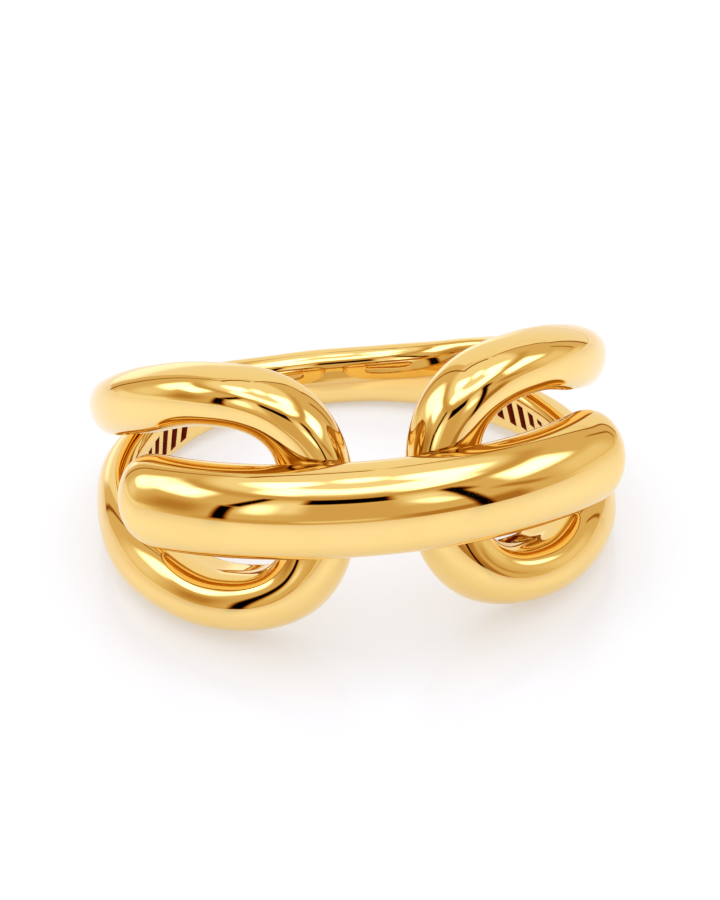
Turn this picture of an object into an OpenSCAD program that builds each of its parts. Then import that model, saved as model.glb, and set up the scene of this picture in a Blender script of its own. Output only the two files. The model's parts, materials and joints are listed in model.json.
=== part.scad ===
// Double loop ring, in millimetres.
// Two tube loops lie along the finger and are tied at the front by one thick bar.
// Their legs run back into a narrow shank, whose finger side has a row of slots.
// The ring lies on its side as it comes to rest, on both lower loops and on the
// back edge of the shank. Its front faces -Y.

/* [Finger] */
// Inside diameter of the ring
finger_d = 17.3; // [15:0.1:21]

/* [Outer form] */
// Width of the whole ring from side to side
ring_w = 20.8; // [19.5:0.1:23]

/* [Loops] */
// Angle from the front to the tip of each loop's centre line
tip_deg = 14.7; // [12:0.1:16]
// Angle from the front at which each loop is at its widest
shoulder_deg = 38.2; // [32:0.1:42]
// Height of the centre line above the middle plane at the shoulder
loop_rise = 4.2; // [3.8:0.05:5.2]
// Squareness of the loop's end, where 2 is an ellipse
loop_power = 2.7; // [2:0.05:3.2]

/* [Bar] */
// Radius of the bend along the middle of the bar
bar_bend_r = 10.65; // [10.2:0.05:12]
// How far the centre of that bend lies in front of the finger's centre
bar_forward = 0.95; // [0:0.05:1.2]
// Half of the angle that the bend turns through, up to the rounded ends
bar_half_deg = 51.5; // [45:0.1:56]
// Height of the bar, along the finger
bar_h = 3.75; // [3:0.05:4.4]
// Thickness of the bar at the front
bar_t = 3.15; // [2.6:0.05:3.6]
// Thickness of the bar where its rounded ends begin
bar_end_t = 3.25; // [2.6:0.05:3.8]
// Length of each rounded end
bar_end_l = 2.65; // [2:0.05:3.6]

/* [Shank] */
// Angle from the front at which the two legs of a loop have met
join_deg = 118.3; // [116:0.1:122]
// Height of the shank at the back
shank_h = 2.4; // [2:0.05:3]
// Thickness of the shank at the back
shank_t = 1.6; // [1.2:0.05:2]

/* [Slots] */
// Width of a slot
slot_w = 0.4; // [0.3:0.02:0.5]
// Depth of a slot into the finger side
slot_depth = 0.9; // [0.5:0.05:1]
// Angle from the front to the first slot on the left
slot_left_deg = 118; // [116:0.5:120]
// Angle from the front to the first slot on the right
slot_right_deg = 108; // [106:0.5:112]
// Angle between neighbouring slots
slot_step_deg = 4.6; // [4:0.1:5]

/* [Hidden] */
gold = [0.93, 0.72, 0.36];
finger_r = finger_d / 2;

// Legs of a loop behind the shoulder, a row for each place along the leg
LEG_DEG = 0;
LEG_Z = 1;
LEG_W = 2;
LEG_D = 3;
LEG_LEAN = 4;
LEG_POWER = 5;
LEG_FLAT = 6;
LEG_FLARE = 7;
leg_table = [
    // angle, centre height, half width, half depth, lean in degrees, squareness,
    // how straight the hole's side runs back to the finger, how much it widens on the way
    [shoulder_deg, loop_rise, 1.17, 1.45, 8, 2.3, 1, 0.2],
    [60, 3.5, 1.28, 1.3, 19, 2.3, 1, 0.12],
    [90, 2.08, 1.13, 0.96, 9, 2.1, 0.3, 0],
    [112, 1.36, 0.96, 0.91, 2, 2.4, 0, 0],
    [122, 1.05, 0.96, 0.88, 0, 2.5, 0, 0],
    [135, 0.78, 0.9, 0.84, 0, 2.5, 0, 0],
    [152, 0.6, 0.7, 0.72, 0, 2.5, 0, 0],
];
// The same columns from a loop's tip to its shoulder, and on to the middle row again, so that they
// level off at the shoulder. A row starts with the share of the way; its height isn't used.
bend_middle = [0, 1.26, 1.44, 18, 2.3, 1, 0.27];
bend_shoulder = [for (k = [LEG_Z : LEG_FLARE]) leg_table[0][k]];
bend_table = [
    [0, 0, 1.45, 1.37, 10, 2.3, 1, 0.34],
    concat(0.5, bend_middle),
    concat(1, bend_shoulder),
    concat(1.5, bend_middle),
];
// How far the inner side of a loop's tube is cut away to fit the finger
finger_cut = 0.3;
leg_end_deg = leg_table[len(leg_table) - 1][LEG_DEG];

// The shank, a row for each place: angle, half height, thickness
shank_table = [
    [join_deg, 1.9, 1.3],
    [128, 1.88, 1.5],
    [138, 1.7, 1.53],
    [152, 1.38, 1.57],
    [180, shank_h / 2, shank_t],
];

tube_sides = 18;
bend_rings = 14;
leg_rings = 16;
bar_rings = 14;
cap_rings = 8;
shank_rings = 20;
shank_sides = 10;
// How far solids run past a surface that cuts or joins them
overrun = 0.6;

// Smooth value of a column at a place, by cubic pieces through the table's rows
function slope(table, col, i) =
    let (last = len(table) - 1, a = max(i - 1, 0), b = min(i + 1, last))
    (table[b][col] - table[a][col]) / (table[b][0] - table[a][0]);
function row_before(table, x, i = 0) =
    i + 2 >= len(table) || x < table[i + 1][0] ? i : row_before(table, x, i + 1);
function smooth(table, col, x) =
    let (
        i = row_before(table, x),
        span = table[i + 1][0] - table[i][0],
        t = (x - table[i][0]) / span,
        m0 = i == 0 ? 0 : slope(table, col, i) * span,
        m1 = slope(table, col, i + 1) * span
    )
    table[i][col] * (2 * t * t * t - 3 * t * t + 1) + m0 * (t * t * t - 2 * t * t + t)
    + table[i + 1][col] * (3 * t * t - 2 * t * t * t) + m1 * (t * t * t - t * t);

function unit(v) = v / norm(v);
function turn(deg, r, z) = [r * sin(deg), -r * cos(deg), z];
function signed_power(v, e) = sign(v) * pow(abs(v), e);

// A solid through rings of points, with flat ends
module skin(rings) {
    n = len(rings[0]);
    m = len(rings);
    sides = [for (i = [0 : m - 2]) for (j = [0 : n - 1])
        let (a = i * n + j, b = i * n + (j + 1) % n)
        each [[a, b + n, b], [a, a + n, b + n]]];
    ends = [[for (j = [0 : n - 1]) j], [for (j = [n - 1 : -1 : 0]) (m - 1) * n + j]];
    polyhedron(points = [for (r = rings) each r], faces = concat(sides, ends));
}

// Rows along the upper half of a loop, from its tip to the end of its leg
function bend_row(q) =
    let (
        rise = pow(sin(q), 2 / loop_power),
        back = pow(cos(q), 2 / loop_power)
    )
    concat([shoulder_deg - (shoulder_deg - tip_deg) * back, loop_rise * rise],
        [for (k = [LEG_W : LEG_FLARE]) smooth(bend_table, k, q / 90)]);
function leg_row(deg) = [for (k = [0 : LEG_FLARE]) k == LEG_DEG ? deg : smooth(leg_table, k, deg)];
loop_rows = concat(
    [for (i = [0 : bend_rings]) bend_row(90 * i / bend_rings)],
    [for (i = [1 : leg_rings]) leg_row(shoulder_deg + (leg_end_deg - shoulder_deg) * i / leg_rings)]
);
loop_path = [for (row = loop_rows)
    turn(row[LEG_DEG], finger_r - finger_cut + row[LEG_D], row[LEG_Z])];

// Half width of the section toward one side. Behind the middle of the hole's side it is a flank
// that runs nearly straight back to the finger.
function side_width(row, q) =
    let (
        oval = signed_power(sin(q), 2 / row[LEG_POWER]),
        flat = min(row[LEG_FLAT], 1),
        flank = 1 - row[LEG_FLARE] * cos(q)
    )
    row[LEG_W] * (q > 90 && q < 180 ? oval + (flank - oval) * flat : oval);

// Oval section whose deep axis points away from the finger, leaning into the loop
function loop_section(i) =
    let (
        last = len(loop_path) - 1,
        row = loop_rows[i],
        c = loop_path[i],
        along = i == 0 ? [0, 0, 1] : unit(loop_path[min(i + 1, last)] - loop_path[i - 1]),
        away = [c.x, c.y, 0],
        out = unit(away - (away * along) * along),
        in = cross(along, out),
        deep = cos(row[LEG_LEAN]) * out + sin(row[LEG_LEAN]) * in,
        wide = cos(row[LEG_LEAN]) * in - sin(row[LEG_LEAN]) * out
    )
    [for (k = [0 : tube_sides - 1]) let (q = 360 * k / tube_sides, e = 2 / row[LEG_POWER])
        c + row[LEG_D] * signed_power(cos(q), e) * deep + side_width(row, q) * wide];
loop_sections = [for (i = [0 : len(loop_path) - 1]) loop_section(i)];

module loop() {
    color(gold) {
        skin(loop_sections);
        mirror([0, 0, 1]) skin(loop_sections);
    }
}

// Bar sections: angle, inner radius, thickness and half height
bar_in_end_r = bar_bend_r - bar_end_t / 2;
bar_cap_deg = bar_end_l / bar_bend_r * 180 / PI;
function bar_row(i) =
    let (q = i / bar_rings, t = bar_t + (bar_end_t - bar_t) * q * q)
    [bar_half_deg * q, bar_bend_r - t / 2, t, bar_h / 2];
function cap_row(i) =
    let (u = 88 * i / cap_rings, k = cos(u))
    [bar_half_deg + bar_cap_deg * sin(u), bar_in_end_r, bar_end_t * k, bar_h / 2 * pow(k, 0.8)];
half_bar_rows = concat([for (i = [1 : bar_rings]) bar_row(i)], [for (i = [1 : cap_rings]) cap_row(i)]);
bar_rows = concat(
    [for (i = [len(half_bar_rows) - 1 : -1 : 0]) let (r = half_bar_rows[i]) [-r[0], r[1], r[2], r[3]]],
    [bar_row(0)],
    half_bar_rows
);
bar_sections = [for (row = bar_rows)
    [for (k = [0 : tube_sides - 1]) let (q = -360 * k / tube_sides)
        turn(row[0], row[1] + row[2] / 2 * (1 + cos(q)), row[3] * sin(q)) - [0, bar_forward, 0]]];

module bar() {
    color(gold) skin(bar_sections);
}

// Shank section: straight on the finger side, rounded outside
shank_round = 2 / 2.5;
function shank_ring_at(deg) =
    let (
        side = deg > 180 ? 360 - deg : deg,
        h = smooth(shank_table, 1, side),
        t = smooth(shank_table, 2, side)
    )
    concat(
        [turn(deg, finger_r - overrun, h)],
        [for (k = [0 : shank_sides]) let (
            q = 180 * k / shank_sides,
            out = t * signed_power(sin(q), shank_round)
        ) turn(deg, finger_r + out, h * signed_power(cos(q), shank_round))],
        [turn(deg, finger_r - overrun, -h)]
    );
shank_sections = [for (i = [0 : 2 * shank_rings])
    shank_ring_at(join_deg + (180 - join_deg) * i / shank_rings)];

module shank() {
    color(gold) skin(shank_sections);
}

// Slots run along the finger, a row for each: how far from the middle plane it starts and ends
slots_left = [
    [0.94, 1.3],
    [0.7, 1.45],
    [0, 1.58],
    [0, 1.46],
    [0, 1.3],
];
slots_right = [
    [1.04, 1.24],
    [0.88, 1.42],
    [0.68, 1.64],
    [0, 1.57],
    [0, 1.4],
];
module slot(from, to) {
    translate([-slot_w / 2, -finger_r - slot_depth, from])
        cube([slot_w, slot_depth + overrun, to - from]);
}
module slot_row(table, first_deg, side) {
    for (i = [0 : len(table) - 1]) {
        from = table[i][0];
        to = table[i][1];
        rotate([0, 0, side * (first_deg + slot_step_deg * i)]) {
            if (from > 0) {
                slot(from, to);
                slot(-to, -from);
            } else slot(-to, to);
        }
    }
}

module outer_form() {
    resize([ring_w, 0, 0]) union() {
        loop();
        mirror([1, 0, 0]) loop();
        bar();
        shank();
    }
}

module upright_ring() {
    difference() {
        outer_form();
        translate([0, 0, -2 * loop_rise]) rotate([0, 0, -90])
            cylinder(r = finger_r, h = 4 * loop_rise, $fn = 96);
        slot_row(slots_left, slot_left_deg, -1);
        slot_row(slots_right, slot_right_deg, 1);
    }
}

// Rest: the front is raised until the front and the back touch the surface at once
upper_points = [
    for (rings = [loop_sections, bar_sections, shank_sections]) for (r = rings) for (p = r)
        if (norm([p.x, p.y]) > finger_r && p.z > 0) p
];
outer_points = concat(upper_points, [for (p = upper_points) [p.x, p.y, -p.z]]);
front_points = [for (p = outer_points) if (p.y < 0 && p.z < 0) p];
back_points = [for (p = outer_points) if (p.y >= 0 && p.z < 0) p];
function lowest(points, deg) = min([for (p = points) p.z * cos(deg) - p.y * sin(deg)]);
function rest_angle(a = 0, b = 30, steps = 24) =
    let (m = (a + b) / 2)
    steps == 0 ? m
    : lowest(front_points, m) < lowest(back_points, m) ? rest_angle(m, b, steps - 1)
    : rest_angle(a, m, steps - 1);
rest_deg = rest_angle();
rest_y = [for (p = outer_points) p.y * cos(rest_deg) + p.z * sin(rest_deg)];
rest_shift = [0, -(min(rest_y) + max(rest_y)) / 2, -lowest(back_points, rest_deg)];

module loop_ring() {
    translate(rest_shift) rotate([-rest_deg, 0, 0]) upright_ring();
}

loop_ring();
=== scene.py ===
import json
import bmesh
import bpy
import numpy as np
from mathutils import Matrix, Vector


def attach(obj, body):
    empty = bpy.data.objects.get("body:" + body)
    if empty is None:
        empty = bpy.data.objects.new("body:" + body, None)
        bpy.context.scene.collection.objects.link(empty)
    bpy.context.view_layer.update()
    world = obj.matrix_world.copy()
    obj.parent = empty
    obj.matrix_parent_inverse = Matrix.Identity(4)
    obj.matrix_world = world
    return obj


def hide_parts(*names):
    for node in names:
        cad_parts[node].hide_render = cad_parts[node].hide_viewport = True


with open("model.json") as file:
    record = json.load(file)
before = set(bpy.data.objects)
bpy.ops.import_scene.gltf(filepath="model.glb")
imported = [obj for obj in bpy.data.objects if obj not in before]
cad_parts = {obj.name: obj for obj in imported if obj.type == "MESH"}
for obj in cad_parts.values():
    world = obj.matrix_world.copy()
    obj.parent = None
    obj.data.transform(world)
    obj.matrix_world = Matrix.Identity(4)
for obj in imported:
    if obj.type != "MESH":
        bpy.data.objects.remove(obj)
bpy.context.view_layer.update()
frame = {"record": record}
MM = 0.001

# Sizes of the ring, in millimetres, in its own upright frame: the finger along Z, the front at -Y
FINGER_R = 8.65
RING_W = 20.8
TIP_DEG = 14.72
SHOULDER_DEG = 38.25
LOOP_RISE = 4.2
LOOP_POWER = 2.72
BAR_BEND_R = 10.65
BAR_FORWARD = 0.95
BAR_HALF_DEG = 51.5
BAR_H = 3.75
BAR_T = 3.15
BAR_END_T = 3.25
BAR_END_L = 2.65
BAR_END_POWER = 0.8

# A quarter of the band, a row for each place from the shoulder of a loop to the back of the ring
DEG, HEIGHT, HALF_W, HALF_D, LEAN, POWER, CUT, FLAT, FLARE, RIM = range(10)
BAND = np.array([
    # angle, centre height, half width, half depth, lean in degrees, squareness, depth lost to the finger,
    # how straight the hole's side runs back to the finger, how much it widens on the way, rim rounding
    [SHOULDER_DEG, LOOP_RISE, 1.17, 1.45, 8, 2.3, 0.25, 1, 0.20, 0.12],
    [60, 3.50, 1.28, 1.30, 19, 2.3, 0.25, 1, 0.12, 0.12],
    [90, 2.08, 1.13, 0.96, 9, 2.1, 0.25, 0.3, 0, 0.12],
    [112, 1.36, 0.96, 0.91, 2, 2.4, 0.25, 0, 0, 0.14],
    [122, 1.06, 0.97, 0.93, 0, 2.5, 0.35, 0, 0, 0.22],
    [135, 0.66, 1.08, 1.15, 0, 2.5, 0.80, 0, 0, 0.45],
    [152, 0.25, 1.13, 1.45, 0, 2.5, 1.33, 0, 0, 0.70],
    [180, 0.00, 1.20, 1.60, 0, 2.5, 1.60, 0, 0, 0.80],
])
BEND = np.array([
    # the same values from the tip of a loop to the shoulder, against the share of the way there
    [0, 0, 1.45, 1.37, 10, 2.3, 0.25, 1, 0.34, 0.12],
    [0.5, 0, 1.26, 1.44, 18, 2.3, 0.25, 1, 0.27, 0.12],
    [1, 0, 1.17, 1.45, 8, 2.3, 0.25, 1, 0.20, 0.12],
])
JOIN_FROM_DEG = 95
CROTCH_ROUND = 0.16

# The finger side of the shank is crowned: the hollow's radius grows by CROWN times the square of the height.
# This eases in from an angle, over a number of degrees. The rays that find a section's outline start further
# out there, and nearer the middle plane, by these millimetres.
CROWN = 0.1
CROWN_FROM_DEG = 122
CROWN_EASE_DEG = 40
RAY_START_OUT = 0.8
RAY_START_DOWN = 0.5

# Slots in the finger side: angle of the first, then the start and the end of each one's upper half. A slot
# leans toward the back, by SLOT_LEAN at the middle plane and by nothing at the height SLOT_PIVOT. Its ends
# slope by SLOT_END_SLOPE, and the cutter stands out of the wall by SLOT_OVERRUN.
SLOT_W = 0.4
SLOT_DEPTH = 0.9
SLOT_STEP_DEG = 4.6
SLOT_LEAN = 0.26
SLOT_PIVOT = 1.0
SLOT_END_SLOPE = 0.28
SLOT_EDGE = 0.02
SLOT_OVERRUN = 0.6
SLOT_WALL_FACING = 0.5
SLOTS_LEFT = (-118, [(0.94, 1.3), (0.7, 1.45), (0, 1.58), (0, 1.46), (0, 1.3)])
SLOTS_RIGHT = (108, [(1.04, 1.24), (0.88, 1.42), (0.68, 1.64), (0, 1.57), (0, 1.4)])

# Fineness of the surfaces
BAND_ROWS = 310
BAND_COLUMNS = 64
BAR_ROWS = 210
BAR_COLUMNS = 64
LINE_STEPS = 4001
OUTLINE_STEPS = 361
EVENING_ROWS = 5
HALVINGS = 36
TURN_WEIGHT = 0.45
TINY = 1e-12
TINY_ANGLE = 1e-9
TINY_SLOPE = 1e-6
WELD = 1e-4
SHARP_DEG = 32


def rest_matrix():
    """The upright ring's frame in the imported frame: its Z goes to the finger hole's axis, its centre to the
    hole's."""
    hole = frame["record"]["mounts"][0]
    up = Vector(hole["axis"]).normalized()
    side = Vector((1, 0, 0))
    back = up.cross(side)
    turn = Matrix((side, back, up)).transposed().to_4x4()
    return Matrix.Translation(Vector(hole["pos_m"])) @ turn


REST = rest_matrix()


def hermite(table, x):
    """All columns at places x: in each interval a cubic through both rows, whose slopes are those between
    the rows before and after, and zero at the first and last row."""
    xs = table[:, 0]
    slopes = np.zeros_like(table)
    slopes[1:-1] = (table[2:] - table[:-2]) / (xs[2:] - xs[:-2])[:, None]
    i = np.clip(np.searchsorted(xs, x, side="right") - 1, 0, len(xs) - 2)
    span = (xs[i + 1] - xs[i])[:, None]
    t = (x - xs[i])[:, None] / span
    rows = (table[i] * (2 * t**3 - 3 * t**2 + 1) + table[i + 1] * (3 * t**2 - 2 * t**3)
            + slopes[i] * span * (t**3 - 2 * t**2 + t) + slopes[i + 1] * span * (t**3 - t**2))
    rows[:, 0] = x
    return rows


def band_rows(t):
    """Section values along a quarter. From t = 0 to 1 the centre line bends from the tip to the shoulder on a
    superellipse: angle = shoulder - (shoulder - tip) cos(q)^(2/p), height = rise sin(q)^(2/p), with q = 90 t.
    From t = 1 to 2 the angle grows evenly to 180 and the other values follow the table."""
    q = np.radians(90 * np.clip(t, 0, 1))
    bend = hermite(BEND, np.clip(t, 0, 1))
    bend[:, DEG] = SHOULDER_DEG - (SHOULDER_DEG - TIP_DEG) * np.abs(np.cos(q)) ** (2 / LOOP_POWER)
    bend[:, HEIGHT] = LOOP_RISE * np.sin(q) ** (2 / LOOP_POWER)
    leg = hermite(BAND, SHOULDER_DEG + (180 - SHOULDER_DEG) * np.clip(t - 1, 0, 1))
    return np.where((t > 1)[:, None], leg, bend)


def around(deg, r, z):
    """Points at an angle from the front, a distance from the finger's axis and a height."""
    a = np.radians(deg)
    return np.stack([r * np.sin(a), -r * np.cos(a), z + 0 * a], axis=-1)


def unit(v):
    return v / np.linalg.norm(v, axis=-1, keepdims=True)


def dot(a, b):
    return np.sum(a * b, axis=-1)


def even_steps(points, count):
    """Indices, as real numbers, of count places that are evenly spaced along a line of points."""
    run = np.concatenate([[0], np.cumsum(np.linalg.norm(np.diff(points, axis=0), axis=1))])
    return np.interp(np.linspace(0, run[-1], count), run, np.arange(len(points)))


def smooth_max(a, b, k):
    """The larger of a and b, raised by k/4 where they are equal and by nothing where they differ by k."""
    h = np.maximum(k - np.abs(a - b), 0) / k
    return np.maximum(a, b) + h * h * k / 4


def band_quarter():
    """A quarter of the ring without its bar, from a loop's tip to the back, above the middle plane.
    At each place of the centre line the section is a superellipse, |x/depth|^p + |y/width|^p = 1, joined
    smoothly to its own mirror image below the middle plane and cut smoothly by the finger's hollow, whose
    radius is the finger's plus crown times height squared. On the hole's side the half that is nearer the
    finger is a straight flank instead: |y| = width (1 + flare |x|). Its outline is found along rays from a
    point inside it, by halving, between the two rays that meet the middle plane, or all the way round where
    the section stays clear of that plane."""
    fine = np.linspace(0, 2, LINE_STEPS)
    rows = band_rows(fine)
    line = around(rows[:, DEG], FINGER_R - rows[:, CUT] + rows[:, HALF_D], rows[:, HEIGHT])
    t = np.interp(even_steps(line, BAND_ROWS), np.arange(len(fine)), fine)
    row = band_rows(t)
    centre = around(row[:, DEG], FINGER_R - row[:, CUT] + row[:, HALF_D], row[:, HEIGHT])
    along = np.empty_like(centre)
    along[1:-1] = unit(centre[2:] - centre[:-2])
    along[0] = (0, 0, 1)
    along[-1] = (-1, 0, 0)
    away = centre * (1, 1, 0)
    out = unit(away - dot(away, along)[:, None] * along)
    inward = np.cross(along, out)
    lean = np.radians(row[:, LEAN])[:, None]
    deep = np.cos(lean) * out + np.sin(lean) * inward
    wide = np.cos(lean) * inward - np.sin(lean) * out
    depth, width, power = row[:, HALF_D], row[:, HALF_W], row[:, POWER]
    joins = row[:, DEG] > JOIN_FROM_DEG

    # The rays start at the centre, but further out where the hollow takes the centre away
    ease = np.clip((row[:, DEG] - CROWN_FROM_DEG) / CROWN_EASE_DEG, 0, 1)[:, None]
    ease = ease * ease * (3 - 2 * ease)
    middle = centre + ease * (RAY_START_OUT * deep - RAY_START_DOWN * wide)
    crown = CROWN * ease

    def oval(p, mirrored):
        q = p * (1, 1, -1) if mirrored else p
        x = dot(q - centre[:, None], deep[:, None]) / depth[:, None]
        y = dot(q - centre[:, None], wide[:, None]) / width[:, None]
        n = power[:, None]
        flank = (y > 0) & (x < 0)
        y = np.abs(y) / np.where(flank, 1 - row[:, None, FLARE] * x, 1)
        x = np.abs(x) * np.where(flank, np.maximum(1 - row[:, None, FLAT], 0), 1)
        return ((x**n + y**n) ** (1 / n) - 1) * np.minimum(depth, width)[:, None]

    def inside(p):
        own = oval(p, False)
        both = -smooth_max(-own, -oval(p, True), CROTCH_ROUND)
        joined = np.where(joins[:, None], both, own)
        hollow = FINGER_R + crown * p[..., 2] ** 2
        return smooth_max(joined, hollow - np.hypot(p[..., 0], p[..., 1]), row[:, None, RIM])

    def reach(origin, direction, far):
        low = np.zeros(direction.shape[:-1])
        high = np.broadcast_to(far, low.shape).copy()
        for _ in range(HALVINGS):
            mid = (low + high) / 2
            solid = inside(origin + mid[..., None] * direction) < 0
            low = np.where(solid, mid, low)
            high = np.where(solid, high, mid)
        return (low + high) / 2

    # The line where each section's plane meets the middle plane, and where the metal starts and ends on it
    flat_reach, far_reach = 3.0, 4.0
    level = unit(deep * wide[:, 2:] - wide * deep[:, 2:] + TINY)
    level *= np.sign(dot(level, away))[:, None]
    drop = -middle[:, 2] / np.where(joins, wide[:, 2], 1)
    foot = middle + drop[:, None] * wide
    foot[:, 2] = 0
    bridged = joins & (inside(foot[:, None])[:, 0] < 0)
    outer = foot + reach(foot[:, None], level[:, None], flat_reach) * level
    inner = foot - reach(foot[:, None], -level[:, None], flat_reach) * level

    def ray_angle(p):
        return np.arctan2(dot(p - middle, wide), dot(p - middle, deep))

    lowest = ray_angle(centre + width[:, None] * wide)
    start = np.where(bridged, ray_angle(outer), lowest)
    end = np.where(bridged, ray_angle(inner), lowest)
    end = np.where(end > start - TINY_ANGLE, end - 2 * np.pi, end)

    def outline(angle):
        ray = np.cos(angle)[..., None] * deep[:, None] + np.sin(angle)[..., None] * wide[:, None]
        down = joins[:, None] & (ray[..., 2] < -TINY_SLOPE)
        far = np.where(down, middle[:, None, 2] / np.where(down, -ray[..., 2], 1), far_reach)
        return middle[:, None] + reach(middle[:, None], ray, np.minimum(far, far_reach))[..., None] * ray

    # Columns are spaced evenly in length plus turning, so the rims get as many as the flanks
    share = np.linspace(0, 1, OUTLINE_STEPS)
    angle = start[:, None] + (end - start)[:, None] * share
    points = outline(angle)
    step = np.linalg.norm(np.diff(points, axis=1), axis=2)
    heading = unit(np.diff(points, axis=1) + TINY)
    turning = np.arccos(np.clip(dot(heading[:, 1:], heading[:, :-1]), -1, 1))
    turning = np.pad(turning, ((0, 0), (1, 0)))
    measure = np.cumsum(step + TURN_WEIGHT * turning, axis=1)
    measure = np.pad(measure, ((0, 0), (1, 0))) / measure[:, -1:]
    even = np.linspace(0, 1, BAND_COLUMNS + 1)
    picked = np.array([np.interp(even, m, share) for m in measure])

    # The spacing is evened out between neighbouring rows
    kernel = np.ones(EVENING_ROWS) / EVENING_ROWS
    edge = EVENING_ROWS // 2
    picked[edge:-edge] = np.apply_along_axis(lambda c: np.convolve(c, kernel, "valid"), 0, picked)
    grid = outline(start[:, None] + (end - start)[:, None] * picked)
    grid[bridged, 0] = outer[bridged]
    grid[bridged, -1] = inner[bridged]
    last_open = np.argmax(bridged) - 1
    grid[last_open, [0, -1], 2] = 0
    grid[:, -1] = np.where(bridged[:, None], grid[:, -1], grid[:, 0])
    grid[0, :, 2] = 0
    grid[-1, :, 0] = 0
    return grid


def grid_faces(rows, columns):
    """Quads between neighbouring rows and columns of a grid of points."""
    i = np.arange(rows - 1)[:, None] * columns + np.arange(columns - 1)[None]
    i = i.ravel()
    return np.stack([i, i + columns, i + columns + 1, i + 1], axis=1)


def make_mesh(name, points, faces):
    """Welds what meets, drops what has no width, and puts the surface where the ring lies."""
    mesh = bpy.data.meshes.new(name)
    turned = points @ np.array(REST.to_3x3()).T * MM + np.array(REST.translation)
    mesh.from_pydata(turned.tolist(), [], faces.tolist())
    bm = bmesh.new()
    bm.from_mesh(mesh)
    bmesh.ops.remove_doubles(bm, verts=bm.verts, dist=WELD * MM)
    bmesh.ops.dissolve_degenerate(bm, dist=WELD * MM, edges=bm.edges)
    bm.to_mesh(mesh)
    bm.free()
    piece = bpy.data.objects.new(name, mesh)
    bpy.context.scene.collection.objects.link(piece)
    return piece


def make_band():
    """Four quarters: the one worked out, and its mirror images across X and across Z."""
    grid = band_quarter()
    rows, columns = grid.shape[:2]
    points = grid.reshape(-1, 3)
    points = points * (RING_W / 2 / np.abs(points[:, 0]).max(), 1, 1)
    faces = grid_faces(rows, columns)
    parts, sides = [], []
    for k, flip in enumerate([(1, 1, 1), (-1, 1, 1), (1, 1, -1), (-1, 1, -1)]):
        parts.append(points * flip)
        turned = faces if flip[0] * flip[2] > 0 else faces[:, ::-1]
        sides.append(turned + k * len(points))
    return make_mesh("band", np.concatenate(parts), np.concatenate(sides))


def make_bar():
    """An ellipse carried along an arc, its thickness growing with the square of the angle, and at each end
    shrunk by cos(u) toward the finger side while the angle runs on by sin(u)."""
    arc_steps, end_steps = 400, 200
    end_in = BAR_BEND_R - BAR_END_T / 2
    cap_deg = np.degrees(BAR_END_L / BAR_BEND_R)
    q = np.linspace(0, 1, arc_steps)
    thick = BAR_T + (BAR_END_T - BAR_T) * q * q
    u = np.radians(np.linspace(0, 90, end_steps)[1:])
    deg = np.concatenate([BAR_HALF_DEG * q, BAR_HALF_DEG + cap_deg * np.sin(u)])
    inner = np.concatenate([BAR_BEND_R - thick / 2, end_in + 0 * u])
    t = np.concatenate([thick, BAR_END_T * np.cos(u)])
    h = np.concatenate([BAR_H / 2 + 0 * q, BAR_H / 2 * np.cos(u) ** BAR_END_POWER])
    flank = around(deg, inner + t, 0 * deg) + np.stack([0 * h, 0 * h, h], axis=-1)
    place = even_steps(flank, BAR_ROWS // 2 + 1)
    index = np.arange(len(deg))
    half = [np.interp(place, index, v) for v in (deg, inner, t, h)]
    deg, inner, t, h = [np.concatenate([s * v[:0:-1], v]) for s, v in zip((-1, 1, 1, 1), half)]
    a = np.linspace(0, 2 * np.pi, BAR_COLUMNS + 1)
    r = inner[:, None] + t[:, None] / 2 * (1 + np.cos(a))
    grid = around(deg[:, None] + 0 * r, r, h[:, None] * np.sin(a))
    grid[:, -1] = grid[:, 0]
    points = grid.reshape(-1, 3) - (0, BAR_FORWARD, 0)
    return make_mesh("bar", points, grid_faces(len(deg), BAR_COLUMNS + 1))


def slot_places():
    """Angle, start and end of every slot, a pair for each one that misses the middle plane."""
    for first_deg, row in (SLOTS_LEFT, SLOTS_RIGHT):
        for i, (start, end) in enumerate(row):
            deg = first_deg + np.sign(first_deg) * SLOT_STEP_DEG * i
            spans = [(start, end), (-end, -start)] if start > 0 else [(-end, end)]
            for low, high in spans:
                yield deg, low, high


def slot_lean(z):
    """How far a slot leans toward the back of the ring at a height: most at the middle plane."""
    return SLOT_LEAN * (SLOT_PIVOT - np.abs(z))


def make_slot_cutter():
    """Leaning boxes that stand through the finger side. One that crosses the middle plane bends there. Their
    ends rise toward the back below the middle plane, and fall toward it above."""
    square = np.array([(-1, 0), (1, 0), (1, 1), (-1, 1)], dtype=float)
    corner = np.arange(4)
    points, faces, first = [], [], 0
    for deg, low, high in slot_places():
        levels = np.array([low, 0, high] if low < 0 < high else [low, high])
        a = np.radians(deg)
        back = np.sign(deg)
        z = np.repeat(levels, 4)
        side, out = np.tile(square, (len(levels), 1)).T
        x = side * SLOT_W / 2
        r = FINGER_R - SLOT_OVERRUN + out * (SLOT_DEPTH + SLOT_OVERRUN)
        tall = z - np.sign(z) * SLOT_END_SLOPE * x * back
        x = x + back * slot_lean(z)
        points.append(np.stack([x * np.cos(a) + r * np.sin(a), x * np.sin(a) - r * np.cos(a), tall], axis=1))
        for k in range(len(levels) - 1):
            i = first + 4 * k + corner
            j = first + 4 * k + (corner + 1) % 4
            faces.append(np.stack([i, i + 4, j + 4, j], axis=1))
        faces.append(first + corner[None])
        faces.append(first + 4 * (len(levels) - 1) + corner[None, ::-1])
        first += len(z)
    return make_mesh("slot_cutter", np.concatenate(points), np.concatenate(faces))


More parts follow.
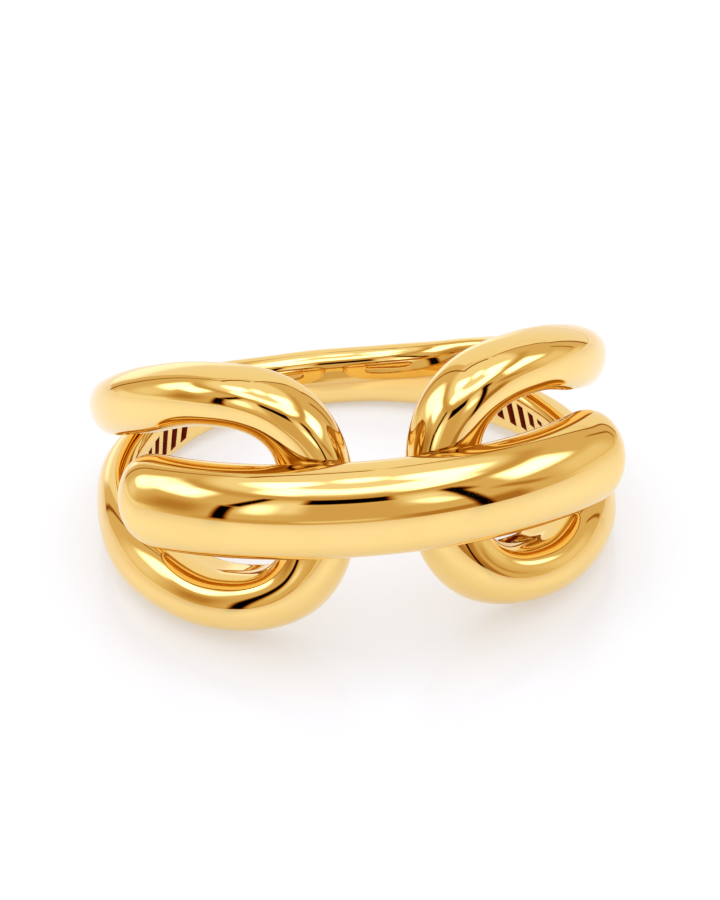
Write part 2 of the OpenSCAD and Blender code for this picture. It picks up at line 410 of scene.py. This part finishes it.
def mark_slots(ring):
    """An attribute that is 1 on the faces inside the slots, where their shade is painted dark red."""
    count = len(ring.data.polygons)
    centres, normals = np.empty(count * 3), np.empty(count * 3)
    ring.data.polygons.foreach_get("center", centres)
    ring.data.polygons.foreach_get("normal", normals)
    turn = np.array(REST.to_3x3())
    p = (centres.reshape(-1, 3) - np.array(REST.translation)) @ turn / MM
    facing = normals.reshape(-1, 3) @ turn
    inside = np.zeros(count, dtype=bool)
    for deg, low, high in slot_places():
        a = np.radians(deg)
        back = np.sign(deg)
        across = p[:, 0] * np.cos(a) + p[:, 1] * np.sin(a) - back * slot_lean(p[:, 2])
        out = p[:, 0] * np.sin(a) - p[:, 1] * np.cos(a)
        z = p[:, 2] + np.sign(p[:, 2]) * SLOT_END_SLOPE * across * back
        outward = facing[:, 0] * np.sin(a) - facing[:, 1] * np.cos(a)
        wall = (np.abs(outward) < SLOT_WALL_FACING) | (out > FINGER_R + SLOT_DEPTH / 2)
        near = (np.abs(across) < SLOT_W / 2 + SLOT_EDGE) & (out > FINGER_R - SLOT_EDGE)
        inside |= wall & near & (z > low - SLOT_EDGE) & (z < high + SLOT_EDGE)
    deep = inside & (np.hypot(p[:, 0], p[:, 1]) < FINGER_R + SLOT_DEPTH + SLOT_EDGE)
    mark = ring.data.attributes.new("slot", "FLOAT", "FACE")
    mark.data.foreach_set("value", deep.astype(float))


def combine(piece, tool, operation):
    """Joins or cuts a piece with another by a boolean, and removes the other."""
    cut = piece.modifiers.new("combine", "BOOLEAN")
    cut.operation = operation
    cut.solver = "MANIFOLD"
    cut.object = tool
    deps = bpy.context.evaluated_depsgraph_get()
    mesh = bpy.data.meshes.new_from_object(piece.evaluated_get(deps))
    piece.modifiers.clear()
    old = piece.data
    piece.data = mesh
    bpy.data.meshes.remove(old)
    bpy.data.objects.remove(tool)


def build_ring():
    """The band and the bar as one surface, with the slots cut, lying on the floor."""
    ring = make_band()
    combine(ring, make_bar(), "UNION")
    combine(ring, make_slot_cutter(), "DIFFERENCE")
    ring.name = "double_loop_ring"
    ring.data.name = "double_loop_ring"
    ring.data.shade_smooth()
    ring.data.set_sharp_from_angle(angle=np.radians(SHARP_DEG))
    mark_slots(ring)
    lowest = min(v.co.z for v in ring.data.vertices)
    ring.data.transform(Matrix.Translation((0, 0, -lowest)))
    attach(ring, "root")
    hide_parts("loop_ring")
    ring.data.materials.clear()
    ring.data.materials.append(gold_material())


def math_node(tree, operation, a, b=0.0, c=0.0):
    """A Math node's output. Each input is a number or another node's output."""
    node = tree.nodes.new("ShaderNodeMath")
    node.operation = operation
    for socket, value in zip(node.inputs, (a, b, c)):
        if isinstance(value, bpy.types.NodeSocket):
            tree.links.new(value, socket)
        else:
            socket.default_value = value
    return node.outputs[0]


def fade(tree, distance, half, soft):
    """1 where a distance is under half - soft, 0 where it is over half + soft, and a smooth slope between."""
    node = tree.nodes.new("ShaderNodeMapRange")
    node.interpolation_type = "SMOOTHSTEP"
    tree.links.new(distance, node.inputs["Value"])
    tree.links.new(math_node(tree, "ADD", half, soft), node.inputs["From Min"])
    tree.links.new(math_node(tree, "SUBTRACT", half, soft), node.inputs["From Max"])
    return node.outputs["Result"]


# Worn gold: colours, sizes in metres, and what smudges and scratches add to the polish's roughness
GOLD = (0.985, 0.715, 0.277, 1)
GOLD_WORN = (0.975, 0.70, 0.258, 1)
# Painted shade: the slots' dark red, not metal, stands in for the dim, reddened light deep inside them
SLOT_SHADE_RED = (0.3, 0.022, 0.002, 1)
SLOT_DULL = 0.5
POLISH = {"Smudge size": 0.004, "Smudge": 0.02, "Scratch": 0.02, "Polish": 0.022}
SMUDGE_HALF = 0.5
SMUDGE_SOFT = 0.14
SMUDGE_DETAIL = 4.0
SCRATCH_DETAIL = 2.0
NOISE_MIDDLE = 0.5
SCRATCH_HALF = 0.006
SCRATCH_BUMP = 0.03
SCRATCH_DEPTH = 0.000002
SCRATCHES = [
    # turn in radians, waves per metre along each axis
    [(0.3, 0.2, 0.5), (160, 2600, 2600)],
    [(1.1, 0.4, 2.2), (2200, 140, 2200)],
]


def polish_group():
    """A node group for worn polish: soft smudges, and fine hair scratches that run two ways."""
    tree = bpy.data.node_groups.new("worn_polish", "ShaderNodeTree")
    tree.interface.new_socket("Position", in_out="INPUT", socket_type="NodeSocketVector")
    for name in POLISH:
        tree.interface.new_socket(name, in_out="INPUT", socket_type="NodeSocketFloat")
    for name in ("Roughness", "Height", "Wear"):
        tree.interface.new_socket(name, in_out="OUTPUT", socket_type="NodeSocketFloat")
    given = tree.nodes.new("NodeGroupInput").outputs

    def noise(position, scale, detail):
        node = tree.nodes.new("ShaderNodeTexNoise")
        node.inputs["Detail"].default_value = detail
        tree.links.new(position, node.inputs["Vector"])
        if isinstance(scale, bpy.types.NodeSocket):
            tree.links.new(scale, node.inputs["Scale"])
        else:
            node.inputs["Scale"].default_value = scale
        return node.outputs[0]

    def scratch(turn, waves):
        """Thin lines where a noise that is stretched along one direction crosses its middle value."""
        node = tree.nodes.new("ShaderNodeMapping")
        node.inputs["Rotation"].default_value = turn
        node.inputs["Scale"].default_value = waves
        tree.links.new(given["Position"], node.inputs["Vector"])
        off = math_node(tree, "SUBTRACT", noise(node.outputs[0], 1.0, SCRATCH_DETAIL), NOISE_MIDDLE)
        return fade(tree, math_node(tree, "ABSOLUTE", off), SCRATCH_HALF, SCRATCH_HALF)

    size = math_node(tree, "DIVIDE", 1.0, given["Smudge size"])
    cloud = noise(given["Position"], size, SMUDGE_DETAIL)
    smudge = fade(tree, math_node(tree, "SUBTRACT", 1.0, cloud), SMUDGE_HALF, SMUDGE_SOFT)
    lines = math_node(tree, "MAXIMUM", *[scratch(*row) for row in SCRATCHES])
    patchy = math_node(tree, "MULTIPLY", lines, smudge)
    rough = math_node(tree, "MULTIPLY_ADD", smudge, given["Smudge"], given["Polish"])
    rough = math_node(tree, "MULTIPLY_ADD", patchy, given["Scratch"], rough)
    result = tree.nodes.new("NodeGroupOutput")
    tree.links.new(rough, result.inputs["Roughness"])
    tree.links.new(math_node(tree, "MULTIPLY", patchy, -1.0), result.inputs["Height"])
    tree.links.new(smudge, result.inputs["Wear"])
    return tree


def gold_material():
    """Polished gold, a little duller and deeper where it is smudged, with painted shade in the slots: dark
    red and not metal.
    """
    mat = bpy.data.materials.new("polished_gold")
    mat.use_nodes = True
    tree = mat.node_tree
    shader = tree.nodes["Principled BSDF"]
    slot = tree.nodes.new("ShaderNodeAttribute")
    slot.attribute_name = "slot"
    polish = tree.nodes.new("ShaderNodeGroup")
    polish.node_tree = polish_group()
    tree.links.new(tree.nodes.new("ShaderNodeTexCoord").outputs["Object"], polish.inputs["Position"])
    for name, value in POLISH.items():
        polish.inputs[name].default_value = value
    dull = math_node(tree, "MULTIPLY_ADD", slot.outputs["Fac"], SLOT_DULL, polish.outputs["Roughness"])
    tree.links.new(dull, shader.inputs["Roughness"])
    tint = tree.nodes.new("ShaderNodeMix")
    tint.data_type = "RGBA"
    tree.links.new(polish.outputs["Wear"], tint.inputs["Factor"])
    tint.inputs["A"].default_value = GOLD
    tint.inputs["B"].default_value = GOLD_WORN
    # Painted shade: dark red instead of gold on the faces inside the slots
    slot_shade = tree.nodes.new("ShaderNodeMix")
    slot_shade.data_type = "RGBA"
    tree.links.new(slot.outputs["Fac"], slot_shade.inputs["Factor"])
    tree.links.new(tint.outputs["Result"], slot_shade.inputs["A"])
    slot_shade.inputs["B"].default_value = SLOT_SHADE_RED
    tree.links.new(slot_shade.outputs["Result"], shader.inputs["Base Color"])
    # The slots are not metal, so their painted dark red shade shows
    tree.links.new(math_node(tree, "SUBTRACT", 1.0, slot.outputs["Fac"]), shader.inputs["Metallic"])
    bump = tree.nodes.new("ShaderNodeBump")
    bump.inputs["Strength"].default_value = SCRATCH_BUMP
    bump.inputs["Distance"].default_value = SCRATCH_DEPTH
    tree.links.new(polish.outputs["Height"], bump.inputs["Height"])
    tree.links.new(bump.outputs[0], shader.inputs["Normal"])
    return mat


# The camera, in the ring's own frame: where it stands round the ring, and what it looks at, in millimetres
VIEW_AZ = -7.003
VIEW_EL = 15.127
VIEW_ROLL = -4.046
VIEW_D = 292.7
VIEW_F_PX = 7264
VIEW_TARGET = (0.384, -0.632, -0.573)
PHOTO_W = 720
SENSOR_W = 36
CLIP_START = 0.01

# The studio, in degrees seen from the ring: azimuth 0 is the camera's side and grows toward +X. Each row lies
# over the ones before it. Level 1 is the white of the floor, and a level under 1 is warmer the lower it is.
STUDIO_WALL = 0.55
STUDIO = [
    # azimuth, elevation, half width, half height, side edge, end edge, slant, level
    [0, -50, 400, 43.5, 1, 1.6, 0, 1.04],        # below the horizon
    [-112, -4, 26, 4, 9, 2, 0, 0.93],            # its glow on the left
    [102, -4, 22, 4, 9, 2, 0, 0.82],             # its glow on the right
    [-8, 13, 22, 20, 9, 7, 0, 0.47],             # front wall behind the camera
    [-116, 10, 13, 9, 8, 6, 0, 0.8],             # pale wall on the left
    [94, 10, 15, 9, 7, 5, 0, 0.76],              # pale wall on the right
    [-80, 11, 12, 10, 8, 8, 0, 0.26],            # dim wall on the left
    [60, 15, 4, 7, 4, 4, -1.1, 0.22],            # dim corner on the right
    [-45, -2, 24, 3.5, 9, 2, 0, 0.42],           # dim foot of the front wall on the left
    [34, -2, 24, 4, 9, 2, 0, 0.24],              # dim foot of the front wall on the right
    [50, -1, 8, 8, 4, 5, 0, 0.2],                # dim corner beside it
    [-13, -0.8, 15, 1.8, 6, 1.2, 0, 0.75],       # sill in front of it
    [0, 47, 125, 4, 10, 3.5, 0, 0.4],            # dim cornice
    [0, 75, 400, 22, 1, 4, 0, 0.88],             # ceiling
    [-178, 22, 19, 28, 1.2, 2, 0, 0.88],         # pale backdrop behind
    [152, 10, 16, 16, 1.2, 1.2, 0, 0.88],        # its lower part on the right
    [165, 39, 16, 13, 1.2, 2, 1, 0.88],          # its upper part on the right
    [-173, 0, 14, 8, 5, 4, 0, 1.25],             # window low behind it
    [-148, 25, 1.3, 34, 1, 2, 0, 0.08],          # dark edge on the left
    [-168, 58, 21, 1.6, 2, 1, 0, 0.08],          # dark edge above
    [150, 41, 1.5, 16, 1.2, 2, 1, 0.08],         # dark slanting edge
    [135, 10, 1.3, 16, 1, 2, 0, 0.08],           # dark edge on the right
    [121, 15, 1.2, 12, 1, 2, 0, 0.12],           # thin edge beside it
    [0, 62, 68, 5.5, 12, 3, 0, 2.7],             # front ceiling light
    [-54, 60, 13, 7, 8, 3, 0, 2.8],              # its left end
    [40, 57.5, 22, 7.5, 12, 3, 0, 2.8],          # its right end
    [-92, 71, 22, 8, 8, 4, 0, 3.3],              # left ceiling light
    [76, 69, 26, 11, 9, 4, 0, 3.2],              # right ceiling light
    [0, 90, 400, 6, 1, 3, 0, 2.8],               # light overhead
    [-96, 36, 15, 7, 7, 3.5, 0, 3.0],            # left softbox
    [-115, 32, 11, 11, 6, 5, 0, 2.5],            # its far end
    [79, 33, 17, 8, 6, 4, 0, 3.2],               # right softbox
    [-38, 27, 9, 12, 5, 6, 0, 0.9],              # glow in front on the left
    [-46, 22, 5, 8, 5, 6, 0, 2.1],               # front left softbox
    [22, 30, 9, 9, 7, 6, 0, 0.95],               # glow in front on the right
    [25, 22, 5, 5, 5, 4, -0.7, 2.2],             # front right softbox
    [-59, 11, 3.5, 13, 1.6, 2, -0.1, 0],         # dark stand on the left
    [-54.3, 34, 3.5, 10, 1.6, 1.5, 0.4, 0],      # its upper part
    [38.5, 17, 3.3, 24, 1.4, 2, -0.14, 0],       # dark stand on the right
    [38, 35, 5.5, 5, 3, 3, -0.5, 0],             # its head
    [-11, 39.2, 20, 5, 3, 1, 0, 0],              # dark flag above the camera
]
PANEL_INPUTS = (
    "Azimuth", "Elevation", "Half width", "Half height",
    "Side edge", "End edge", "Slant", "Level",
)

# Powers that warm red, green and blue of a level under 1
WARMTH = (0.56, 1.0, 1.9)

# The share of its light that the room loses for a ray that the gold has mirrored more than once. The counts
# of bounces are whole numbers, so each limit lies halfway between two.
DEEP_DIM = 0.68
MIRRORED_ONCE = 1.5
NEVER_SCATTERED = 0.5

# The lamp and the floor, in metres and watts
LAMP_WATT = 0.1
LAMP_SIZE = (0.25, 0.18)
LAMP_PLACE = (-0.02, 0.03, 0.22)
FLOOR_R = 0.07
FLOOR_CORNERS = 128
FLOOR_TONE = (0.62, 0.63, 0.67, 1)
FLOOR_TINT = (0.98, 1.0, 1.07, 1)
FLOOR_GLOW = 0.345
FLOOR_ROUGH = 0.18
FLOOR_SHINE = 0.3
ROOM_WHITE = (1, 1, 1, 1)


def make_camera():
    """A long lens at the photo's angle to the ring, rolled as the photo is."""
    az, el, roll = np.radians([VIEW_AZ, VIEW_EL, VIEW_ROLL])
    back = np.array([np.sin(az) * np.cos(el), -np.cos(az) * np.cos(el), np.sin(el)])
    right = np.array([np.cos(az), np.sin(az), 0])
    up = np.cross(right, -back)
    right, up = np.cos(roll) * right + np.sin(roll) * up, np.cos(roll) * up - np.sin(roll) * right
    place = np.array(VIEW_TARGET) + VIEW_D * back
    pose = Matrix(np.column_stack([right, up, back]).tolist()).to_4x4()
    pose.translation = Vector(place * MM)
    data = bpy.data.cameras.new("camera")
    data.sensor_fit = "HORIZONTAL"
    data.sensor_width = SENSOR_W
    data.lens = VIEW_F_PX * SENSOR_W / PHOTO_W
    data.clip_start = CLIP_START
    camera = bpy.data.objects.new("camera", data)
    camera.matrix_world = REST @ pose
    bpy.context.scene.collection.objects.link(camera)
    bpy.context.scene.camera = camera


def make_floor():
    """A pale round floor that fills the view, with the same white beyond it."""
    mesh = bpy.data.meshes.new("floor")
    turn = np.linspace(0, 2 * np.pi, FLOOR_CORNERS + 1)[:-1]
    rim = np.stack([FLOOR_R * np.cos(turn), FLOOR_R * np.sin(turn), 0 * turn], axis=1)
    mesh.from_pydata(rim.tolist(), [], [list(range(len(rim)))])
    floor = bpy.data.objects.new("floor", mesh)
    bpy.context.scene.collection.objects.link(floor)
    mat = bpy.data.materials.new("pale_floor")
    mat.use_nodes = True
    shader = mat.node_tree.nodes["Principled BSDF"]
    shader.inputs["Base Color"].default_value = FLOOR_TONE
    shader.inputs["Emission Color"].default_value = FLOOR_TINT
    shader.inputs["Emission Strength"].default_value = FLOOR_GLOW
    shader.inputs["Roughness"].default_value = FLOOR_ROUGH
    shader.inputs["Specular IOR Level"].default_value = FLOOR_SHINE
    mesh.materials.append(mat)


def panel_group():
    """A node group that lays one soft-edged panel of light, or a dark one, over the level behind it."""
    tree = bpy.data.node_groups.new("studio_panel", "ShaderNodeTree")
    for name in ("Level behind", "Ray azimuth", "Ray elevation") + PANEL_INPUTS:
        tree.interface.new_socket(name, in_out="INPUT", socket_type="NodeSocketFloat")
    tree.interface.new_socket("Level", in_out="OUTPUT", socket_type="NodeSocketFloat")
    given = tree.nodes.new("NodeGroupInput").outputs
    rise = math_node(tree, "SUBTRACT", given["Ray elevation"], given["Elevation"])
    side = math_node(tree, "SUBTRACT", given["Ray azimuth"], given["Azimuth"])
    side = math_node(tree, "SUBTRACT", side, math_node(tree, "MULTIPLY", rise, given["Slant"]))
    side = math_node(tree, "ABSOLUTE", math_node(tree, "WRAP", side, 180.0, -180.0))
    across = fade(tree, side, given["Half width"], given["Side edge"])
    upright = fade(tree, math_node(tree, "ABSOLUTE", rise), given["Half height"], given["End edge"])
    share = math_node(tree, "MULTIPLY", across, upright)
    change = math_node(tree, "SUBTRACT", given["Level"], given["Level behind"])
    level = math_node(tree, "MULTIPLY_ADD", change, share, given["Level behind"])
    result = tree.nodes.new("NodeGroupOutput")
    tree.links.new(level, result.inputs["Level"])
    return tree


def make_room():
    """The room that the gold mirrors, by direction: dim warm walls, dark stands and white panels. All else
    sees plain white."""
    bpy.context.scene.view_settings.view_transform = "Standard"
    world = bpy.data.worlds.new("studio")
    bpy.context.scene.world = world
    world.use_nodes = True
    tree = world.node_tree
    direction = tree.nodes.new("ShaderNodeSeparateXYZ")
    tree.links.new(tree.nodes.new("ShaderNodeTexCoord").outputs["Generated"], direction.inputs[0])
    x, y, z = direction.outputs
    azimuth = math_node(tree, "ARCTAN2", x, math_node(tree, "MULTIPLY", y, -1.0))
    azimuth = math_node(tree, "DEGREES", azimuth)
    elevation = math_node(tree, "DEGREES", math_node(tree, "ARCSINE", z))
    panel = panel_group()
    level = STUDIO_WALL
    for row in STUDIO:
        node = tree.nodes.new("ShaderNodeGroup")
        node.node_tree = panel
        for name, value in zip(PANEL_INPUTS, row):
            node.inputs[name].default_value = value
        tree.links.new(azimuth, node.inputs["Ray azimuth"])
        tree.links.new(elevation, node.inputs["Ray elevation"])
        if isinstance(level, bpy.types.NodeSocket):
            tree.links.new(level, node.inputs["Level behind"])
        else:
            node.inputs["Level behind"].default_value = level
        level = node.outputs["Level"]

    path = tree.nodes.new("ShaderNodeLightPath").outputs
    again = math_node(tree, "GREATER_THAN", path["Glossy Depth"], MIRRORED_ONCE)
    kept = math_node(tree, "SUBTRACT", 1.0, math_node(tree, "MULTIPLY", again, DEEP_DIM))
    level = math_node(tree, "MULTIPLY", level, kept)
    dim = math_node(tree, "MINIMUM", level, 1.0)
    strong = math_node(tree, "MAXIMUM", level, 1.0)
    colour = tree.nodes.new("ShaderNodeCombineColor")
    for socket, power in zip(colour.inputs, WARMTH):
        tint = math_node(tree, "POWER", dim, power)
        tree.links.new(math_node(tree, "MULTIPLY", tint, strong), socket)
    seen = tree.nodes.new("ShaderNodeMix")
    seen.data_type = "RGBA"
    direct = math_node(tree, "LESS_THAN", path["Diffuse Depth"], NEVER_SCATTERED)
    tree.links.new(math_node(tree, "MULTIPLY", path["Is Glossy Ray"], direct), seen.inputs["Factor"])
    seen.inputs["A"].default_value = ROOM_WHITE
    tree.links.new(colour.outputs[0], seen.inputs["B"])
    tree.links.new(seen.outputs["Result"], tree.nodes["Background"].inputs["Color"])


def make_lamp():
    """A soft lamp above, which draws the shadow under the ring and which the gold doesn't mirror."""
    data = bpy.data.lights.new("top_softbox", "AREA")
    data.shape = "RECTANGLE"
    data.size, data.size_y = LAMP_SIZE
    data.energy = LAMP_WATT
    lamp = bpy.data.objects.new("top_softbox", data)
    lamp.location = LAMP_PLACE
    lamp.visible_glossy = False
    bpy.context.scene.collection.objects.link(lamp)


make_camera()
make_floor()
make_room()
make_lamp()
build_ring()
